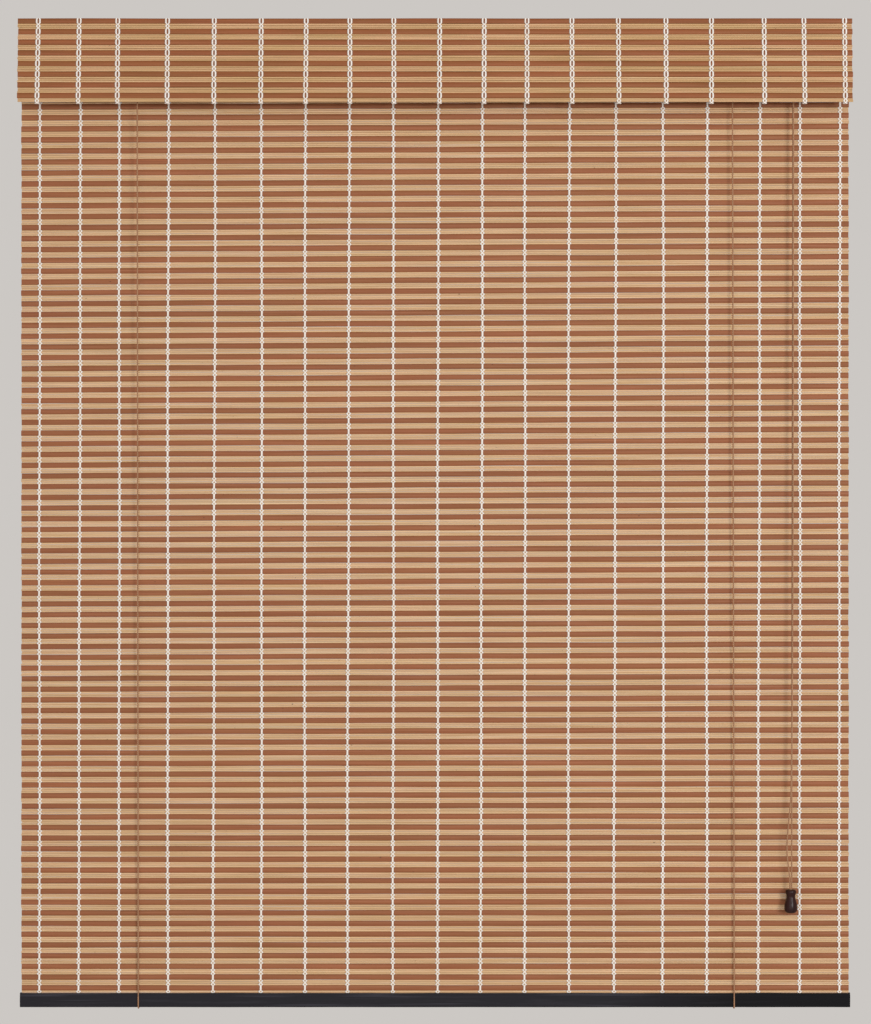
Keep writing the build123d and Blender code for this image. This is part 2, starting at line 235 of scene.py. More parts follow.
class Finish:
    """A material with short ways to add and link its nodes."""

    def __init__(self, name, **sockets):
        self.material = bpy.data.materials.new(name)
        self.material.use_nodes = True
        self.tree = self.material.node_tree
        self.shader = self.tree.nodes["Principled BSDF"]
        for socket, value in sockets.items():
            self.shader.inputs[socket.replace("_", " ")].default_value = value
        print("finish", name)

    def add(self, kind, settings=None, **inputs):
        node = self.tree.nodes.new(kind)
        for key, value in (settings or {}).items():
            setattr(node, key, value)
        for socket, value in inputs.items():
            self.feed(node.inputs[socket.replace("_", " ")], value)
        return node

    def feed(self, socket, value):
        """Link a node's output to a socket, or set the socket to a plain value."""
        if isinstance(value, bpy.types.NodeSocket):
            self.tree.links.new(value, socket)
        else:
            socket.default_value = value

    def place(self, scale=(1, 1, 1), source="Object"):
        """Coordinates of the piece, stretched by a scale for each axis."""
        spot = self.add("ShaderNodeTexCoord").outputs[source]
        return self.add("ShaderNodeMapping", Vector=spot, Scale=scale).outputs["Vector"]

    def noise(self, scale, detail, roughness=0.55):
        made = self.add(
            "ShaderNodeTexNoise", Vector=self.place(scale), Scale=1.0,
            Detail=detail, Roughness=roughness,
        )
        return made.outputs["Fac"]

    def span(self, value, low, high, new_low, new_high):
        """Map one range of values to another, and clamp it there."""
        made = self.add(
            "ShaderNodeMapRange", Value=value, From_Min=low, From_Max=high,
            To_Min=new_low, To_Max=new_high,
        )
        return made.outputs["Result"]

    def clouds(self, scale, low=0.3, high=0.7, detail=3.0, roughness=0.55):
        """Noise with more contrast: 0 where it is below low and 1 where it is above high."""
        return self.span(self.noise(scale, detail, roughness), low, high, 0, 1)

    def bands(self, direction, place, scale, distortion):
        """Even waves across a direction."""
        made = self.add(
            "ShaderNodeTexWave", {"wave_type": "BANDS", "bands_direction": direction},
            Vector=place, Scale=scale, Distortion=distortion,
        )
        return made.outputs["Fac"]

    def math(self, operation, first, second):
        made = self.add("ShaderNodeMath", {"operation": operation})
        self.feed(made.inputs[0], first)
        self.feed(made.inputs[1], second)
        return made.outputs["Value"]

    def mix(self, factor, first, second):
        made = self.add("ShaderNodeMix", {"data_type": "RGBA"})
        self.feed(made.inputs["Factor"], factor)
        self.feed(made.inputs[6], first)
        self.feed(made.inputs[7], second)
        return made.outputs[2]

    def tint(self, body, factor, share, colour):
        """Mix a colour into a body, by at most a share where the factor is 1."""
        return self.mix(self.math("MULTIPLY", factor, share), body, colour)

    def attribute(self, name):
        return self.add("ShaderNodeAttribute", {"attribute_name": name}).outputs["Fac"]

    def value_shift(self, colour, value):
        return self.add("ShaderNodeHueSaturation", Color=colour, Value=value).outputs["Color"]

    def colour(self, value):
        self.feed(self.shader.inputs["Base Color"], value)

    def roughness(self, value):
        self.feed(self.shader.inputs["Roughness"], value)

    def bump(self, height, distance, strength):
        made = self.add("ShaderNodeBump", Height=height, Distance=distance, Strength=strength)
        self.feed(self.shader.inputs["Normal"], made.outputs["Normal"])


# %% [markdown]
# ## Bamboo finishes
# The slats are stained a reddish brown and the sticks keep their straw colour. Both are split from
# the same cane, so both show long fibres: noise that is stretched more than fifty times along X.
# Each bar also carries a number of its own, the tint attribute, which makes some bars paler than
# their neighbours.

# %% Stained slats and natural sticks
# How fast each kind of noise changes along X, Y and Z, per metre
patch_scale = (7, 90, 90)
fibre_scale = (14, 900, 900)
streak_scale = (4, 500, 500)
speck_scale = (200, 400, 400)
fibre_share = 0.55
streak_share = 0.5
speck_share = 0.8
speck_brown = paint(62, 36, 24)
dimmest_bar, brightest_bar = 0.93, 1.05
glossiest_fibre, roughest_fibre = 0.45, 0.65
fibre_relief = 0.15 * MM


def bamboo_finish(name, warm, dull, dark, pale):
    finish = Finish(name, Roughness=0.55, Specular_IOR_Level=0.25)
    patches = finish.clouds(patch_scale, 0.35, 0.65, detail=2)
    fibres = finish.clouds(fibre_scale, detail=4)
    streaks = finish.clouds(streak_scale, 0.56, 0.72, detail=2)
    body = finish.mix(patches, warm, dull)
    body = finish.tint(body, fibres, fibre_share, dark)
    body = finish.tint(body, streaks, streak_share, pale)
    specks = finish.span(finish.noise(speck_scale, detail=1), 0.80, 0.84, 0, speck_share)
    body = finish.mix(specks, body, speck_brown)
    brightness = finish.span(finish.attribute("tint"), 0, 1, dimmest_bar, brightest_bar)
    finish.colour(finish.value_shift(body, brightness))
    finish.roughness(finish.span(fibres, 0, 1, glossiest_fibre, roughest_fibre))
    finish.bump(fibres, fibre_relief, strength=0.35)
    return finish.material


stained_slat = bamboo_finish(
    "stained_slat",
    warm=paint(157, 94, 61), dull=paint(150, 94, 58),
    dark=paint(124, 71, 41), pale=paint(167, 106, 73),
)
natural_stick = bamboo_finish(
    "natural_stick",
    warm=paint(222, 183, 143), dull=paint(216, 180, 135),
    dark=paint(184, 142, 102), pale=paint(234, 204, 166),
)
# Darker copies of both finishes for the valance, whose deeper colour is painted shade
slat_painted_shade = bamboo_finish(
    "slat_painted_shade",
    warm=paint(155, 89, 53), dull=paint(143, 88, 49),
    dark=paint(118, 65, 33), pale=paint(162, 101, 62),
)
stick_painted_shade = bamboo_finish(
    "stick_painted_shade",
    warm=paint(218, 175, 134), dull=paint(205, 168, 118),
    dark=paint(176, 134, 92), pale=paint(228, 196, 154),
)

# %% [markdown]
# ## Cotton stitches
# Cotton is matt and slightly fuzzy. A fine diagonal wave stands for the twist of the yarn, which
# is too small to model.

# %% Cotton finish
twist_scale = 420.0
twist_share = 0.25
twist_relief = 0.12 * MM
cotton = Finish("cotton_thread", Roughness=0.9, Specular_IOR_Level=0.2, Sheen_Weight=0.15)
twist = cotton.bands("DIAGONAL", cotton.place(), twist_scale, distortion=1.5)
soil = cotton.clouds((60, 60, 40))
clean = cotton.mix(soil, paint(252, 245, 238), paint(244, 232, 220))
cotton.colour(cotton.tint(clean, twist, twist_share, paint(222, 206, 190)))
cotton.bump(twist, twist_relief, strength=0.5)

# %% [markdown]
# ## One slat and one stick
# A slat starts as a cube that is stretched to its size. Its long edges are bevelled and then
# divided, so that it can waver along its length. A stick is a six-sided cylinder laid on its side
# and divided the same way. Both have few faces, because the mat repeats them hundreds of times.

# %% Model one slat and one stick
bar_cuts = 24
stick_corners = 6
stick_radius_share = 0.52


def divide_lengthwise(bar):
    pick_edges(bar, runs_along_x)
    bpy.ops.mesh.subdivide(number_cuts=bar_cuts)
    bpy.ops.object.mode_set(mode="OBJECT")


def model_slat():
    slat = start_piece("slat", bpy.ops.mesh.primitive_cube_add, size=1)
    slat.scale = (blind_width, slat_thickness, slat_height)
    slat.location = (0, 0, -slat_height / 2)
    settle(slat)
    pick_edges(slat, runs_along_x)
    bpy.ops.mesh.bevel(offset=slat_edge, segments=1)
    bpy.ops.object.mode_set(mode="OBJECT")
    divide_lengthwise(slat)
    smooth_below(50)
    slat.data.materials.append(stained_slat)
    return slat


def model_stick(height):
    stick = start_piece(
        "stick", bpy.ops.mesh.primitive_cylinder_add,
        vertices=stick_corners, radius=stick_radius_share * height, depth=blind_width,
        rotation=(0, math.radians(90), 0), location=(0, 0, -height / 2),
    )
    settle(stick)
    divide_lengthwise(stick)
    smooth_below(70)
    stick.data.materials.append(natural_stick)
    return stick


def stick_step(pitch):
    """The height that one stick takes up in its band."""
    return (pitch - slat_height) / sticks_in_band


slat_master = model_slat()
stick_masters = {pitch: model_stick(stick_step(pitch)) for pitch in (mat_pitch, valance_pitch)}
print("slat faces", len(slat_master.data.polygons))
print("stick faces", len(stick_masters[mat_pitch].data.polygons))

# %% [markdown]
# ## Bars that grew
# Split cane is never quite straight. Three sine waves with random phases bend each bar a little,
# change its girth and trim its ends. The random numbers come from one seeded source, so every run
# gives the same blind.

# %% Give each bar its own waver, girth, length and tint
chance = np.random.default_rng(11)
wave_lengths = (0.9, 0.42, 0.23)
shortest_wave, longest_wave = 0.8, 1.25
slat_growth = {"waver": 0.22 * MM, "swell": 0.03, "ragged": 0.9 * MM}
stick_growth = {"waver": 0.16 * MM, "swell": 0.07, "ragged": 1.2 * MM}


def grow(piece, bars, waver, swell, ragged):
    """Change every bar of a piece: how far it wavers, its girth swells and its ends fall short."""
    points = points_of(piece).reshape(bars, -1, 3)
    middle = points.mean(axis=1, keepdims=True)
    along = points[:, :, 0]

    def drift(size):
        total = np.zeros_like(along)
        for length in wave_lengths:
            phase = chance.uniform(0, 2 * math.pi, (bars, 1))
            own_length = length * chance.uniform(shortest_wave, longest_wave, (bars, 1))
            total += np.sin(2 * math.pi * along / own_length + phase)
        return size * total / len(wave_lengths)

    girth = 1 + drift(swell)
    offset = points - middle
    points[:, :, 1] = middle[:, :, 1] + offset[:, :, 1] * girth + drift(waver / 2)
    points[:, :, 2] = middle[:, :, 2] + offset[:, :, 2] * girth + drift(waver)
    left_trim = chance.uniform(0, ragged, (bars, 1))
    points[:, :, 0] = np.where(along < 0, along + left_trim, along)
    right_trim = chance.uniform(0, ragged, (bars, 1))
    points[:, :, 0] = np.where(along > 0, along - right_trim, points[:, :, 0])
    move_points(piece, points)
    tints = np.repeat(chance.random(bars), points.shape[1]).astype(np.float32)
    piece.data.attributes.new("tint", "FLOAT", "POINT").data.foreach_set("value", tints)


def bamboo_rows(name, rows, pitch, end_sticks, top):
    """Rows of slats and bands downwards from a height; the last band has end_sticks sticks."""
    slats = copy_of(slat_master, name + "_slats")
    repeat_down(slats, rows, pitch)
    grow(slats, rows, **slat_growth)
    parts = [slats]
    for bands, sticks, first in ((rows - 1, sticks_in_band, 0), (1, end_sticks, rows - 1)):
        band = copy_of(stick_masters[pitch], name + "_sticks")
        repeat_down(band, sticks, stick_step(pitch))
        repeat_down(band, bands, pitch)
        grow(band, bands * sticks, **stick_growth)
        band.location.z = -first * pitch - slat_height
        parts.append(settle(band))
    made = join(parts, name)
    made.location.z = top
    return settle(made)


# %% [markdown]
# ## The stitch
# Two yarns run down each column. On the room side of the mat they lie together over a slat and
# cross once over a band of sticks, and on the other side they run apart over a slat and cross
# twice over a band. A yarn is a four-cornered ring that is extruded from station to station, and
# one repeat is a row of such columns.

# %% Model one repeat of each stitch
yarn_half_width = 1.15 * MM
yarn_half_depth = 0.36 * MM
crossing_sink = 0.12 * MM
# Stations of one yarn: share of the repeat, mm aside from the column, mm over the weave
together_stitch = (
    (0.0, 0.7, 0.2), (0.03, 0.1, 0.34), (0.46, 0.1, 0.34), (0.52, 1.9, 0.3), (0.59, 1.9, 0.3),
    (0.742, 0.0, 0.46), (0.895, -1.9, 0.3), (0.965, -1.9, 0.3), (1.0, -0.7, 0.2),
)
apart_stitch = (
    (0.0, 1.4, 0.3), (0.08, 1.95, 0.3), (0.41, 1.95, 0.3), (0.487, 1.4, 0.3), (0.574, 0.0, 0.46),
    (0.66, -1.5, 0.3), (0.742, -1.8, 0.3), (0.825, -1.5, 0.3), (0.913, 0.0, 0.46), (1.0, 1.4, 0.3),
)


def model_yarn(name, stations, pitch, hand, face):
    """One yarn of a stitch: hand is its side of the column, face the side of the weave."""
    route = []
    for share, aside, over in stations:
        sink = crossing_sink if hand < 0 and aside == 0 else 0
        depth = slat_thickness / 2 + over * MM - sink
        route.append(Vector((hand * aside * MM, face * depth, -share * pitch)))
    yarn = start_piece(name, bpy.ops.mesh.primitive_circle_add, vertices=4, radius=1)
    yarn.scale = (yarn_half_width, yarn_half_depth, 1)
    yarn.location = route[0]
    settle(yarn)
    bpy.ops.object.mode_set(mode="EDIT")
    bpy.ops.mesh.select_all(action="SELECT")
    for start, end in zip(route, route[1:]):
        bpy.ops.mesh.extrude_region_move(TRANSFORM_OT_translate={"value": end - start})
    bpy.ops.mesh.select_all(action="SELECT")
    bpy.ops.mesh.normals_make_consistent(inside=False)
    bpy.ops.object.mode_set(mode="OBJECT")
    bpy.ops.object.shade_smooth()
    return yarn


def model_repeat(pitch, front, back):
    """One row of stitches over all columns, on both faces of the weave."""
    yarns = [
        model_yarn("stitch", stations, pitch, hand, face)
        for stations, face in ((front, -1), (back, 1))
        for hand in (-1, 1)
    ]
    stitch = join(yarns, "stitch")
    columns = []
    for share in column_shares:
        column = copy_of(stitch, "column")
        column.location.x = share * blind_width / 2
        columns.append(settle(column))
    bpy.data.objects.remove(stitch)
    repeat = join(columns, "repeat")
    repeat.data.materials.append(cotton.material)
    return repeat


mat_repeat = model_repeat(mat_pitch, together_stitch, apart_stitch)
valance_repeat = model_repeat(valance_pitch, apart_stitch, together_stitch)
print("faces in one row of stitches", len(mat_repeat.data.polygons))

# %% [markdown]
# ## Rows of stitches
# A row is repeated downwards, and then every column leans and drifts a little, so that no two
# columns run quite the same way.

# %% Repeat the stitches
thread_lean = 0.0013
# Drifts of a column: how far, over what height, and the phase from one column to the next
column_drifts = ((0.6 * MM, 0.31, 2.1), (0.35 * MM, 0.083, 1.3))


def stitch_rows(name, repeat, rows, pitch, top, aside=0.0):
    """Rows of stitches downwards from a height, moved aside as a whole."""
    made = copy_of(repeat, name)
    repeat_down(made, rows, pitch)
    points = points_of(made).reshape(rows, len(column_shares), -1, 3)
    points[:, :, :, 2] += top
    height = points[:, :, :, 2]
    order = np.arange(len(column_shares)).reshape(1, -1, 1)
    points[:, :, :, 0] += aside + thread_lean * (height - mat_low.z)
    for size, length, phase in column_drifts:
        points[:, :, :, 0] += size * np.sin(height / length + phase * order)
    move_points(made, points)
    return made


# %% [markdown]
# ## The mat, in strips
# A mat that rolls up can't be one stiff piece, so it is built in strips of whole rows. The top
# strip stays, the last one rises with the bottom rail, and those between stay with the blind, each
# with a mesh of its own.

# %% Hang the mat
strip_rows = (4, 11, 11, 11, 11, 11, 10, 10, 11)
weave_stretch = 24.5 * MM
stretch_rise, stretch_fall = 0.8, 1.6
stretch_slant = 0.95


def stretch(piece):
    """Let the weave hang: its upper rows carry the most weight, so they stand further apart."""
    points = points_of(piece)
    share = np.clip((mat_high.z - points[:, 2]) / (mat_high.z - mat_low.z), 0, 1)
    slant = 1 - stretch_slant * points[:, 0]
    points[:, 2] -= weave_stretch * share**stretch_rise * (1 - share) ** stretch_fall * slant
    move_points(piece, points)


def slide_up(piece):
    """Give a strip a mesh of its own; it is not moved."""
    points = points_of(piece)
    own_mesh(piece)


first_row = 0
last_strip = len(strip_rows) - 1
for number, rows in enumerate(strip_rows):
    top = mat_high.z - first_row * mat_pitch
    bamboo = bamboo_rows(f"mat_bamboo_{number}", rows, mat_pitch, sticks_in_band, top)
    stitches = stitch_rows(f"mat_stitches_{number}", mat_repeat, rows, mat_pitch, top)
    for piece, node, slot in (
        (bamboo, "mat", "bamboo"),
        (stitches, "mat_warp_threads", "cotton_thread"),
    ):
        piece.location.y = mat_y
        settle(piece)
        stretch(piece)
        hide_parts(node)
        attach(piece, "bottom_rail" if number == last_strip else "blind")
        if 0 < number < last_strip:
            slide_up(piece)
    first_row += rows
print("mat rows", first_row, "strips", len(strip_rows))

# %% [markdown]
# ## The valance
# The valance is the same weave with its other face to the room, so its stitches show two lines
# over each slat. It is fixed along its top edge and leans out a little, as a stiff strip does over
# the knots and pulleys behind it. The models that were copied aren't needed after it.

# %% Hang the valance
valance_rows = 8
valance_end_sticks = 2
valance_lean = math.radians(-4.3)
valance_stand_off = 1.5 * MM
valance_top_drop = 0.5 * MM
valance_stitch_aside = 1.3 * MM
headrail_low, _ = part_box("headrail")
valance_bamboo = bamboo_rows("valance_bamboo", valance_rows, valance_pitch, valance_end_sticks, 0)
valance_stitches = stitch_rows(
    "valance_stitches", valance_repeat, valance_rows, valance_pitch, 0, valance_stitch_aside
)
# The valance gets the darker copies, so painted shade deepens its colour
for material_slot, finish in zip(valance_bamboo.material_slots, (slat_painted_shade, stick_painted_shade)):
    material_slot.material = finish
for piece, node, slot in (
    (valance_bamboo, "valance", "bamboo"),
    (valance_stitches, "valance_warp_threads", "cotton_thread"),
):
    piece.location.y = -valance_stand_off
    settle(piece)
    piece.rotation_euler.x = valance_lean
    piece.location = (0, headrail_low.y, -valance_top_drop)
    settle(piece)
    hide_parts(node)
    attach(piece, "blind")
for master in (slat_master, *stick_masters.values(), mat_repeat, valance_repeat):
    bpy.data.objects.remove(master)
print("valance rows", valance_rows)

# %% [markdown]
# ## The hem's cloth
# The cloth is black and woven both ways, so two sets of waves are multiplied. It is grey in long
# streaks, with painted shade towards the right end and painted highlights along its creases.

# %% Black cloth finish
web_scale, web_waver = 320.0, 0.6
web_share = 0.3
web_relief = 0.15 * MM
# Where along X painted shade darkens the grey streaks towards the right end, and how much of them is
# left
painted_shade_from, painted_shade_to, painted_shade_keep = 0.2, 0.36, 0.1
cloth = Finish("hem_cloth", Roughness=0.8, Specular_IOR_Level=0.15, Sheen_Weight=0.04)
threads = [cloth.bands(axis, cloth.place(), web_scale, web_waver) for axis in ("X", "Z")]
web = cloth.math("MULTIPLY", *threads)
grey_streaks = cloth.clouds((9, 30, 160), 0.5, 0.75, detail=4)
# Painted shade: the grey streaks darken from left to right along X
across = cloth.add("ShaderNodeSeparateXYZ", Vector=cloth.place()).outputs["X"]
painted_shade_ramp = cloth.span(across, painted_shade_from, painted_shade_to, 1, painted_shade_keep)
streaks_under_painted_shade = cloth.math("MULTIPLY", painted_shade_ramp, cloth.span(grey_streaks, 0, 1, 0.55, 1))
cloth_body = cloth.mix(streaks_under_painted_shade, paint(12, 11, 13), paint(50, 48, 54))
# Painted highlights: thin lighter lines along the creases, dimmed with the painted shade on the
# right
painted_crease_highlights = cloth.span(cloth.noise((6, 20, 260), detail=1), 0.58, 0.68, 0, 0.5)
cloth_body = cloth.mix(cloth.math("MULTIPLY", painted_crease_highlights, streaks_under_painted_shade), cloth_body, paint(84, 82, 92))
cloth.colour(cloth.tint(cloth_body, web, web_share, paint(14, 13, 15)))
cloth.bump(web, web_relief, strength=0.6)

# %% [markdown]
# ## The bottom hem
# The rail is a wooden bar in a sleeve of black cloth that is folded up round the end of the mat.
# The sleeve starts as a cube without its top, the long edges are rounded, its lips are drawn in,
# and it gets the thickness of cloth. Noise that is long in X gives it the shallow creases of cloth
# that was pulled tight and glued.

# %% Sew the hem
hem_low, hem_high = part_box("bottom_hem")
cloth_thickness = 0.8 * MM
hem_corner = 2.2 * MM
hem_corner_steps = 3
hem_cuts_up, hem_cuts_along = 7, 159
lip_height = 3.4 * MM
lip_draw = 0.62
lip_wave = 0.4 * MM
crease_depth = 0.8 * MM
fold_share, ripple_share, press_share = 0.7, 0.3, 0.3
# How fast the noise of folds, ripples and lips changes, per metre
fold_x, fold_y, fold_z = 18, 60, 170
ripple_x, ripple_z = 90, 60
lip_x = 14
ripple_seed, lip_seed = 4.0, 9.0


def model_hem():
    size = hem_high - hem_low
    hem = start_piece("bottom_hem_cloth", bpy.ops.mesh.primitive_cube_add, size=1)
    hem.scale = size
    hem.location = (hem_low + hem_high) / 2
    settle(hem)
    bpy.ops.object.mode_set(mode="EDIT")
    bpy.ops.mesh.select_mode(type="FACE")
    bpy.ops.mesh.select_all(action="DESELECT")
    bpy.ops.object.mode_set(mode="OBJECT")
    # Only the top face looks up
    for face in hem.data.polygons:
        face.select = face.normal.z > 0.9
    bpy.ops.object.mode_set(mode="EDIT")
    bpy.ops.mesh.delete(type="FACE")
    bpy.ops.object.mode_set(mode="OBJECT")
    pick_edges(hem, lambda a, b: runs_along_x(a, b) and max(a.z, b.z) < hem_low.z + MM)
    bpy.ops.mesh.bevel(offset=hem_corner, segments=hem_corner_steps)
    bpy.ops.object.mode_set(mode="OBJECT")
    pick_edges(hem, lambda a, b: abs(a.z - b.z) > size.z / 2)
    bpy.ops.mesh.subdivide(number_cuts=hem_cuts_up)
    bpy.ops.object.mode_set(mode="OBJECT")
    pick_edges(hem, runs_along_x)
    bpy.ops.mesh.subdivide(number_cuts=hem_cuts_along)
    bpy.ops.object.mode_set(mode="OBJECT")
    return hem


def crease(hem):
    """Draw the lips in against the mat and press shallow creases into the cloth."""
    points = points_of(hem)
    for point in points:
        over = max(0.0, point[2] - (hem_high.z - lip_height)) / lip_height
        point[1] = mat_y + (point[1] - mat_y) * (1 - (1 - lip_draw) * over)
        fold = noise.noise(Vector((point[0] * fold_x, point[1] * fold_y, point[2] * fold_z)))
        ripple = noise.noise(Vector((point[0] * ripple_x, ripple_seed, point[2] * ripple_z)))
        side = 1 if point[1] > mat_y else -1
        push = fold_share * fold + ripple_share * ripple - press_share
        point[1] += side * crease_depth * push
        point[2] += lip_wave * over * noise.noise(Vector((point[0] * lip_x, lip_seed, 0.0)))
    move_points(hem, points)


bottom_hem = model_hem()
crease(bottom_hem)
wall = bottom_hem.modifiers.new("cloth", "SOLIDIFY")
wall.thickness = cloth_thickness
wall.offset = -1
apply_modifiers(bottom_hem)
smooth_below(60)
bottom_hem.data.materials.append(cloth.material)
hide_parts("bottom_hem")
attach(bottom_hem, "bottom_rail")

# %% [markdown]
# ## Cord finish
# The cords are a light brown braid. Their tubes carry a UV map in turns and metres, so two
# crossing sets of diagonal waves follow the cord wherever it goes.

# %% Braided cord finish
strands_round, strands_per_metre = 3.0, 520.0
strand_scale = 0.45
braid_relief = 0.2 * MM
braid = Finish("brown_cord", Roughness=0.75, Specular_IOR_Level=0.3, Sheen_Weight=0.1)
strands = []
for slant in (-1, 1):
    chart_place = braid.place((slant * strands_round, strands_per_metre, 1), source="UV")
    strands.append(braid.bands("DIAGONAL", chart_place, strand_scale, distortion=0.0))
plait = braid.math("MAXIMUM", *strands)
braid_wear = braid.clouds((40, 40, 25))
braid_body = braid.mix(braid_wear, paint(182, 136, 102), paint(164, 120, 87))
braid.colour(braid.mix(plait, paint(126, 88, 62), braid_body))
braid.bump(plait, braid_relief, strength=0.6)

# %% [markdown]
# ## Lines for the cords
# A cord's line is a NURBS spline through a few given points. Read back as a mesh with no
# bevel, it gives the smooth line that the tube follows. The tube is a ring of eight points at
# every step along that line.

# %% Cord lines and tubes
cord_radius = 0.8 * MM
cord_sides = 8


def cord_line(points, steps):
    """Points along a smooth line that is steered by a few route points in millimetres."""
    curve = bpy.data.curves.new("route", "CURVE")
    curve.dimensions = "3D"
    curve.resolution_u = steps
    spline = curve.splines.new("NURBS")
    spline.points.add(len(points) - 1)
    for control, point in zip(spline.points, points):
        control.co = (*(Vector(point) * MM), 1)
    spline.order_u = 3
    spline.use_endpoint_u = True
    route = bpy.data.objects.new("route", curve)
    bpy.context.scene.collection.objects.link(route)
    bpy.context.view_layer.update()
    read = bpy.data.meshes.new_from_object(route)
    line = [vertex.co.copy() for vertex in read.vertices]
    bpy.data.objects.remove(route)
    bpy.data.curves.remove(curve)
    bpy.data.meshes.remove(read)
    return line


def line_length(line):
    return sum((end - start).length for start, end in zip(line, line[1:]))


def cord_tube(name, line):
    """A round tube along a line, with a UV map in turns and metres."""
    sweep = (line[1] - line[0]).normalized()
    aside = sweep.orthogonal().normalized()
    corners, faces, reach = [], [], [0.0]
    for index, point in enumerate(line):
        before, after = line[max(index - 1, 0)], line[min(index + 1, len(line) - 1)]
        ahead = (after - before).normalized()
        aside = (aside - ahead * aside.dot(ahead)).normalized()
        up = ahead.cross(aside)
        if index:
            reach.append(reach[-1] + (point - line[index - 1]).length)
        for corner in range(cord_sides):
            angle = 2 * math.pi * corner / cord_sides
            corners.append(point + cord_radius * (math.cos(angle) * aside + math.sin(angle) * up))
    for ring in range(len(line) - 1):
        for corner in range(cord_sides):
            beside = (corner + 1) % cord_sides
            near, far = ring * cord_sides, (ring + 1) * cord_sides
            faces.append((near + corner, near + beside, far + beside, far + corner))
    faces.append(tuple(reversed(range(cord_sides))))
    faces.append(tuple(range(len(corners) - cord_sides, len(corners))))
    mesh = bpy.data.meshes.new(name)
    mesh.from_pydata(corners, [], faces)
    mesh.polygons.foreach_set("use_smooth", [True] * len(faces))
    chart = mesh.uv_layers.new(name="UVMap")
    for face in mesh.polygons[: (len(line) - 1) * cord_sides]:
        ring, corner = divmod(face.index, cord_sides)
        for loop, (turn, step) in zip(face.loop_indices, ((0, 0), (1, 0), (1, 1), (0, 1))):
            chart.data[loop].uv = ((corner + turn) / cord_sides, reach[ring + step])
    mesh.materials.append(braid.material)
    tube = bpy.data.objects.new(name, mesh)
    bpy.context.scene.collection.objects.link(tube)
    return tube


# %% [markdown]
# ## The acorn
# The acorn is turned from a small block and stained nearly black under a gloss coat. It starts as
# a ring in its bore and is extruded and resized ring by ring, as a turner works down the outline,
# and it ends in the hollow below that hides the knot.

# %% Turn the acorn
gloss = Finish(
    "tassel_wood", Roughness=0.4, Specular_IOR_Level=0.15, Coat_Weight=0.15, Coat_Roughness=0.2
)
grain_relief = 0.1 * MM
grain = gloss.clouds((260, 260, 45), detail=4)
gloss.colour(gloss.mix(grain, paint(26, 7, 5), paint(46, 17, 13)))
gloss.bump(grain, grain_relief, strength=0.25)

tassel_low, tassel_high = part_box("tassel")
tassel_middle = (tassel_low + tassel_high) / 2
tassel_radius = (tassel_high.x - tassel_low.x) / 2
tassel_height = tassel_high.z - tassel_low.z
tassel_segments = 40
# Rings from the bore over the outside to the hollow below: shares of the height and the radius
acorn_rings = (
    (0.12, 0.25), (0.01, 0.25), (0.0, 0.30), (0.0, 0.60), (0.012, 0.70), (0.035, 0.79),
    (0.07, 0.825), (0.11, 0.835), (0.15, 0.82), (0.19, 0.77), (0.23, 0.72), (0.27, 0.695),
    (0.31, 0.69), (0.36, 0.715), (0.42, 0.77), (0.49, 0.84), (0.56, 0.905), (0.63, 0.955),
    (0.70, 0.985), (0.77, 1.0), (0.84, 0.995), (0.89, 0.965), (0.93, 0.90), (0.96, 0.81),
    (0.985, 0.69), (1.0, 0.54), (1.0, 0.44), (0.985, 0.385), (0.52, 0.385),
)


def ring_middle(drop):
    """The middle of the acorn's ring at a share of its height."""
    return (tassel_middle.x, tassel_middle.y, tassel_high.z - drop * tassel_height)


def model_acorn():
    drop, share = acorn_rings[0]
    acorn = start_piece(
        "acorn", bpy.ops.mesh.primitive_circle_add,
        vertices=tassel_segments, radius=share * tassel_radius, location=ring_middle(drop),
    )
    settle(acorn)
    bpy.ops.object.mode_set(mode="EDIT")
    bpy.ops.mesh.select_all(action="SELECT")
    for (drop, share), (new_drop, new_share) in zip(acorn_rings, acorn_rings[1:]):
        fall = Vector((0, 0, (drop - new_drop) * tassel_height))
        bpy.ops.mesh.extrude_region_move(TRANSFORM_OT_translate={"value": fall})
        size = new_share / share
        bpy.ops.transform.resize(value=(size, size, 1), center_override=ring_middle(new_drop))
    bpy.ops.mesh.fill()
    bpy.ops.mesh.select_all(action="SELECT")
    bpy.ops.mesh.normals_make_consistent(inside=False)
    bpy.ops.object.mode_set(mode="OBJECT")
    smooth_below(40)
    return acorn


acorn = model_acorn()
acorn.data.materials.append(gloss.material)
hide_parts("tassel")
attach(acorn, "pull_tassel")
print("acorn faces", len(acorn.data.polygons))

# %% [markdown]
# ## The pull cords
# Both lift cords leave the cord lock side by side and hang down to the acorn. They are held at the
# top and weighed at the end, so they run straight, but the front one is a touch longer and bows
# out above the acorn. Places along the cords are in millimetres.

# %% Hang the pull cords
front_y, rear_y, cord_y = -3.35, 1.35, -1.0
run_z = -36.18
lock_x = 418.18
pull_x = 431.0
pull_steps = 16
front_pull_route = (
    (lock_x, front_y, run_z), (pull_x, front_y, run_z), (pull_x, front_y, -46.0),
    (430.9, -3.3, -130.0), (429.9, -2.9, -915.25), (424.7, -2.5, -968.07),
    (422.6, -2.01, -999.98), (426.21, -1.31, -1026.13), (427.05, cord_y, -1041.0),
    (427.05, cord_y, -1060.0),
)
rear_pull_route = (
    (lock_x, rear_y, run_z), (pull_x, rear_y, run_z), (pull_x, rear_y, -46.0),
    (430.85, 1.2, -130.0), (429.1, -0.8, -960.0), (428.95, cord_y, -1041.0),
    (428.95, cord_y, -1060.0),
)


def pull_cord(name, route):
    """A cord that hangs from the lock down to the acorn."""
    line = cord_line(route, pull_steps)
    tube = cord_tube(name, line)
    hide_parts(name.replace("_braid", ""))
    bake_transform(tube)
    print(name, "length", round(line_length(line), 4))


pull_cord("front_pull_cord_braid", front_pull_route)
pull_cord("rear_pull_cord_braid", rear_pull_route)
